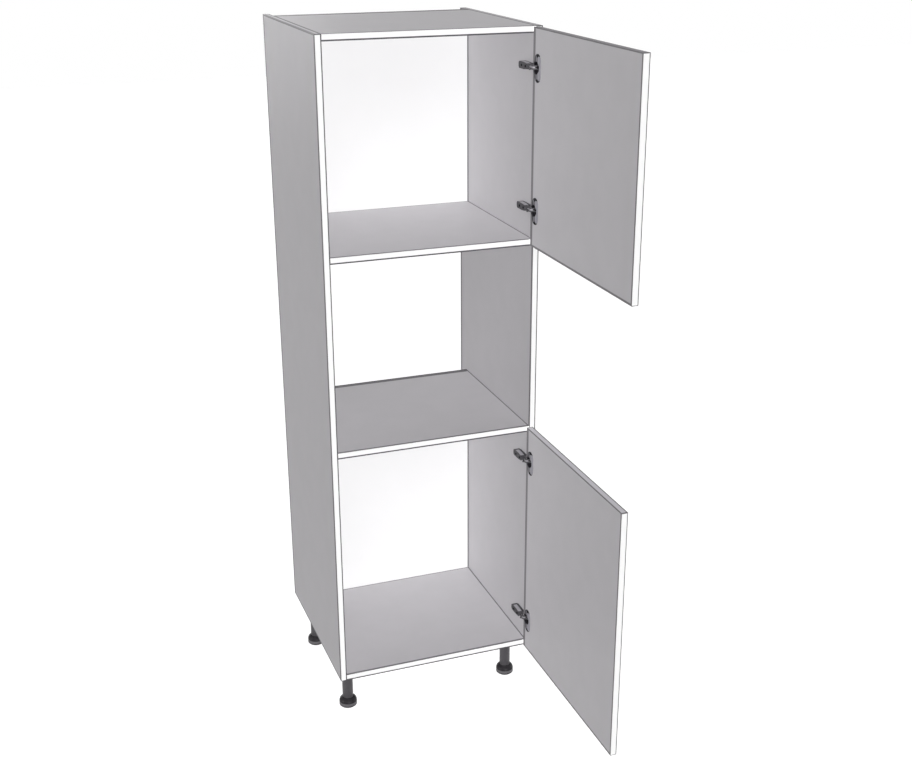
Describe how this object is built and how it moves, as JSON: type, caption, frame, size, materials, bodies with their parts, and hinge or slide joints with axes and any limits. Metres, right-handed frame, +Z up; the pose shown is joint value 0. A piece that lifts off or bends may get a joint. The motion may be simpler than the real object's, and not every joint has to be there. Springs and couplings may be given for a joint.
{
  "type": "oven housing cabinet",
  "caption": "Tall kitchen cabinet on adjustable legs that houses a built-in oven in an open bay, with a right-hung cupboard door above the bay and one below it, on concealed hinges",
  "frame": {"origin": "on the floor, below the middle of the bounding box with both doors open at a right angle", "axes": "+X to the cabinet's right as one faces it, +Y from the front to the back, +Z up"},
  "size_m": [0.6, 1.1596, 1.97],
  "materials": {
    "board_face": "chipboard with a light grey melamine face",
    "door_face": "chipboard with a light grey melamine face",
    "back_panel_face": "chipboard with a white melamine face",
    "white_edging": "white edging strip",
    "dowel_wood": "plain beech",
    "leg_plastic": "moulded dark grey plastic",
    "hinge_steel": "pressed nickel-plated steel",
    "link_steel": "pressed nickel-plated steel",
    "screw_steel": "dark plated steel"
  },
  "bodies": {
    "carcass": {"side_left": "board_face", "side_left_edging": "white_edging", "side_right": "board_face", "side_right_edging": "white_edging", "top_panel": "board_face", "top_panel_edging": "white_edging", "upper_shelf": "board_face", "upper_shelf_edging": "white_edging", "oven_shelf": "board_face", "oven_shelf_edging": "white_edging", "base_panel": "board_face", "base_panel_edging": "white_edging", "back_panel_upper": "back_panel_face", "back_panel_lower": "back_panel_face", "carcass_dowels": "dowel_wood", "leg_socket_front_left": "leg_plastic", "leg_stem_front_left": "leg_plastic", "leg_socket_front_right": "leg_plastic", "leg_stem_front_right": "leg_plastic", "leg_socket_rear_left": "leg_plastic", "leg_stem_rear_left": "leg_plastic", "leg_socket_rear_right": "leg_plastic", "leg_stem_rear_right": "leg_plastic", "leg_socket_screws": "screw_steel", "hinge_arm_upper_top": "hinge_steel", "hinge_plate_upper_top": "hinge_steel", "hinge_arm_upper_bottom": "hinge_steel", "hinge_plate_upper_bottom": "hinge_steel", "hinge_arm_lower_top": "hinge_steel", "hinge_plate_lower_top": "hinge_steel", "hinge_arm_lower_bottom": "hinge_steel", "hinge_plate_lower_bottom": "hinge_steel", "hinge_plate_screws": "screw_steel", "hinge_arm_screws": "screw_steel", "hinge_arm_pins": "screw_steel"},
    "door_upper": {"door_upper": "door_face", "door_upper_edging": "white_edging", "door_upper_cup_screws": "screw_steel", "door_upper_cup_pins": "screw_steel", "hinge_cup_upper_top": "hinge_steel", "hinge_cup_upper_bottom": "hinge_steel"},
    "door_lower": {"door_lower": "door_face", "door_lower_edging": "white_edging", "door_lower_cup_screws": "screw_steel", "door_lower_cup_pins": "screw_steel", "hinge_cup_lower_top": "hinge_steel", "hinge_cup_lower_bottom": "hinge_steel"},
    "inner_link_upper_top": {"hinge_inner_link_upper_top": "link_steel"},
    "outer_link_upper_top": {"hinge_outer_link_upper_top": "link_steel"},
    "inner_link_upper_bottom": {"hinge_inner_link_upper_bottom": "link_steel"},
    "outer_link_upper_bottom": {"hinge_outer_link_upper_bottom": "link_steel"},
    "inner_link_lower_top": {"hinge_inner_link_lower_top": "link_steel"},
    "outer_link_lower_top": {"hinge_outer_link_lower_top": "link_steel"},
    "inner_link_lower_bottom": {"hinge_inner_link_lower_bottom": "link_steel"},
    "outer_link_lower_bottom": {"hinge_outer_link_lower_bottom": "link_steel"},
    "foot_front_left": {"leg_foot_front_left": "leg_plastic"},
    "foot_front_right": {"leg_foot_front_right": "leg_plastic"},
    "foot_rear_left": {"leg_foot_rear_left": "leg_plastic"},
    "foot_rear_right": {"leg_foot_rear_right": "leg_plastic"}
  },
  "joints": [
    {"name": "inner_link_upper_top_turn", "type": "hinge", "parent": "carcass", "child": "inner_link_upper_top", "pos_m": [0.27228, 0.03168, 1.868], "axis": [0, 0, 1], "range_deg": [-1.68, 30.01]},
    {"name": "outer_link_upper_top_turn", "type": "hinge", "parent": "carcass", "child": "outer_link_upper_top", "pos_m": [0.26427, 0.01899, 1.868], "axis": [0, 0, 1], "range_deg": [-1.11, 19.81]},
    {"name": "inner_link_upper_bottom_turn", "type": "hinge", "parent": "carcass", "child": "inner_link_upper_bottom", "pos_m": [0.27228, 0.03168, 1.498], "axis": [0, 0, 1], "range_deg": [-1.68, 30.01]},
    {"name": "outer_link_upper_bottom_turn", "type": "hinge", "parent": "carcass", "child": "outer_link_upper_bottom", "pos_m": [0.26427, 0.01899, 1.498], "axis": [0, 0, 1], "range_deg": [-1.11, 19.81]},
    {"name": "door_upper_swing", "type": "hinge", "parent": "inner_link_upper_top", "child": "door_upper", "pos_m": [0.2775, 0.00724, 1.868], "axis": [0, 0, 1], "range_deg": [-120, 6.67]},
    {"name": "inner_link_lower_top_turn", "type": "hinge", "parent": "carcass", "child": "inner_link_lower_top", "pos_m": [0.27228, 0.03168, 0.767], "axis": [0, 0, 1], "range_deg": [-1.68, 30.01]},
    {"name": "outer_link_lower_top_turn", "type": "hinge", "parent": "carcass", "child": "outer_link_lower_top", "pos_m": [0.26427, 0.01899, 0.767], "axis": [0, 0, 1], "range_deg": [-1.11, 19.81]},
    {"name": "inner_link_lower_bottom_turn", "type": "hinge", "parent": "carcass", "child": "inner_link_lower_bottom", "pos_m": [0.27228, 0.03168, 0.252], "axis": [0, 0, 1], "range_deg": [-1.68, 30.01]},
    {"name": "outer_link_lower_bottom_turn", "type": "hinge", "parent": "carcass", "child": "outer_link_lower_bottom", "pos_m": [0.26427, 0.01899, 0.252], "axis": [0, 0, 1], "range_deg": [-1.11, 19.81]},
    {"name": "door_lower_swing", "type": "hinge", "parent": "inner_link_lower_top", "child": "door_lower", "pos_m": [0.2775, 0.00724, 0.767], "axis": [0, 0, 1], "range_deg": [-120, 6.67]},
    {"name": "foot_front_left_height", "type": "slide", "parent": "carcass", "child": "foot_front_left", "axis": [0, 0, -1], "range_m": [0, 0.02]},
    {"name": "foot_front_right_height", "type": "slide", "parent": "carcass", "child": "foot_front_right", "axis": [0, 0, -1], "range_m": [0, 0.02]},
    {"name": "foot_rear_left_height", "type": "slide", "parent": "carcass", "child": "foot_rear_left", "axis": [0, 0, -1], "range_m": [0, 0.02]},
    {"name": "foot_rear_right_height", "type": "slide", "parent": "carcass", "child": "foot_rear_right", "axis": [0, 0, -1], "range_m": [0, 0.02]}
  ],
  "couplings": [
    {"joint": "inner_link_upper_top_turn", "follows": "door_upper_swing", "ratio": -0.25},
    {"joint": "outer_link_upper_top_turn", "follows": "door_upper_swing", "ratio": -0.165},
    {"joint": "inner_link_upper_bottom_turn", "follows": "door_upper_swing", "ratio": -0.25},
    {"joint": "outer_link_upper_bottom_turn", "follows": "door_upper_swing", "ratio": -0.165},
    {"joint": "inner_link_lower_top_turn", "follows": "door_lower_swing", "ratio": -0.25},
    {"joint": "outer_link_lower_top_turn", "follows": "door_lower_swing", "ratio": -0.165},
    {"joint": "inner_link_lower_bottom_turn", "follows": "door_lower_swing", "ratio": -0.25},
    {"joint": "outer_link_lower_bottom_turn", "follows": "door_lower_swing", "ratio": -0.165}
  ]
}
